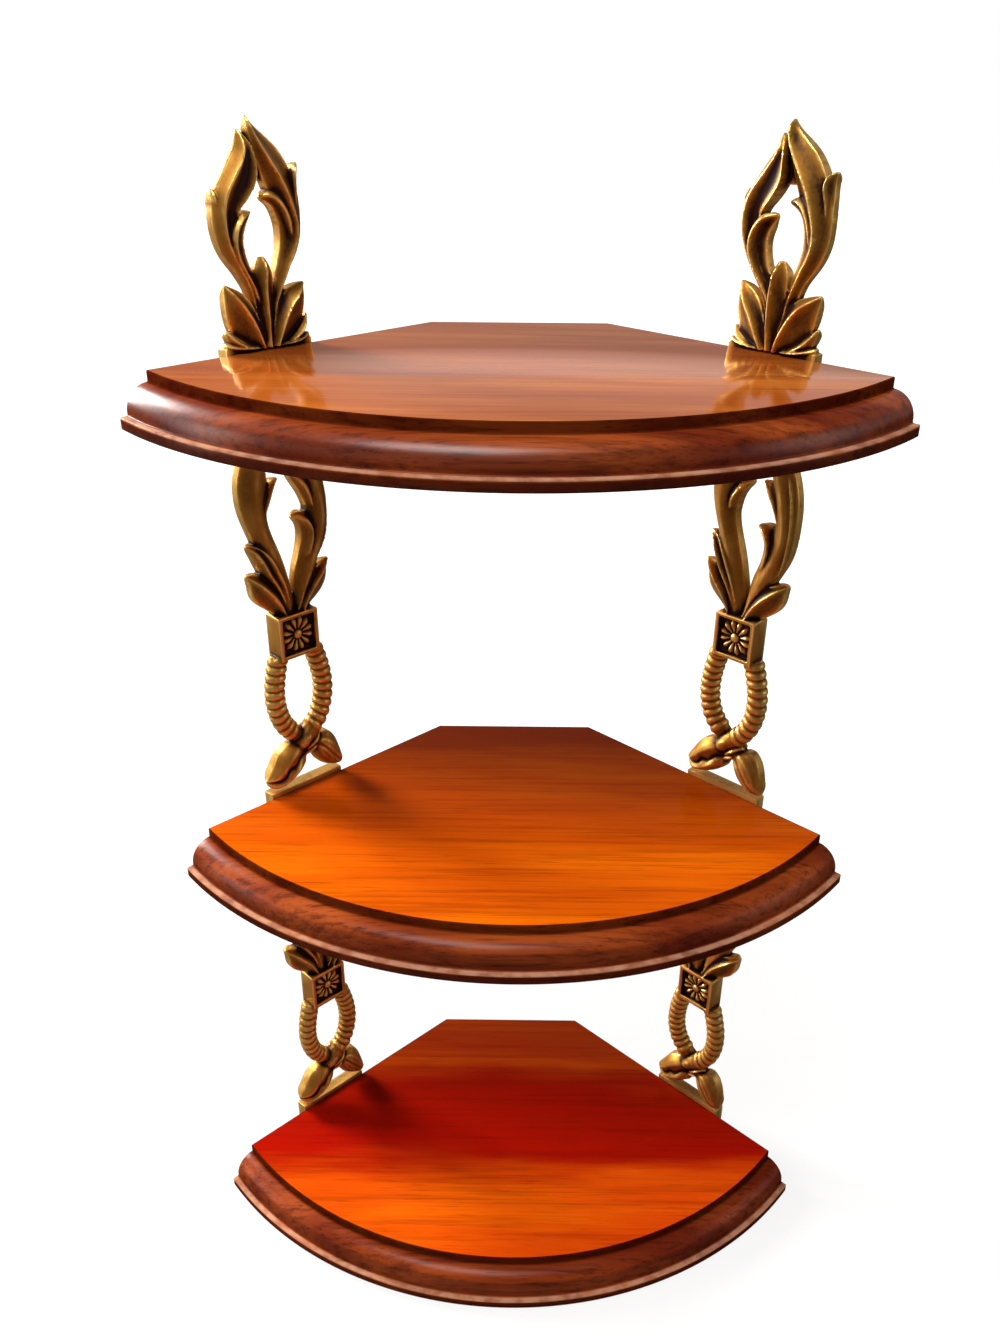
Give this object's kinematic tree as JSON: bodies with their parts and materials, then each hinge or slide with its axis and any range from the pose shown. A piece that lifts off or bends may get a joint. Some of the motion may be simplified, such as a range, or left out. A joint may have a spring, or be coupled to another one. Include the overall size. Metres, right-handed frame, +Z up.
{
  "type": "corner wall shelf",
  "caption": "Tiered corner wall shelf with quarter-round moulded boards carried between ornamental cast leaf-and-rope side panels that hang on both walls.",
  "frame": {"origin": "underside of the bottom board, in the middle of the part's width and depth", "axes": "+Z up, +Y towards the corner of the room, +X to the right as seen from the room"},
  "size_m": [0.2846, 0.1746, 0.489],
  "materials": {
    "board_wood": "gloss lacquer",
    "antique_gold": "antique gold with dark glaze",
    "fixing_steel": "zinc plated"
  },
  "bodies": {
    "root": {"bottom_board": "board_wood", "left_bottom_back_screw": "fixing_steel", "left_bottom_front_screw": "fixing_steel", "left_hanger_plate": "fixing_steel", "left_lower_hanger_screw": "fixing_steel", "left_middle_back_screw": "fixing_steel", "left_middle_front_screw": "fixing_steel", "left_side_panel": "antique_gold", "left_top_back_screw": "fixing_steel", "left_top_front_screw": "fixing_steel", "left_upper_hanger_screw": "fixing_steel", "middle_board": "board_wood", "right_bottom_back_screw": "fixing_steel", "right_bottom_front_screw": "fixing_steel", "right_hanger_plate": "fixing_steel", "right_lower_hanger_screw": "fixing_steel", "right_middle_back_screw": "fixing_steel", "right_middle_front_screw": "fixing_steel", "right_side_panel": "antique_gold", "right_top_back_screw": "fixing_steel", "right_top_front_screw": "fixing_steel", "right_upper_hanger_screw": "fixing_steel", "top_board": "board_wood"}
  },
  "joints": []
}
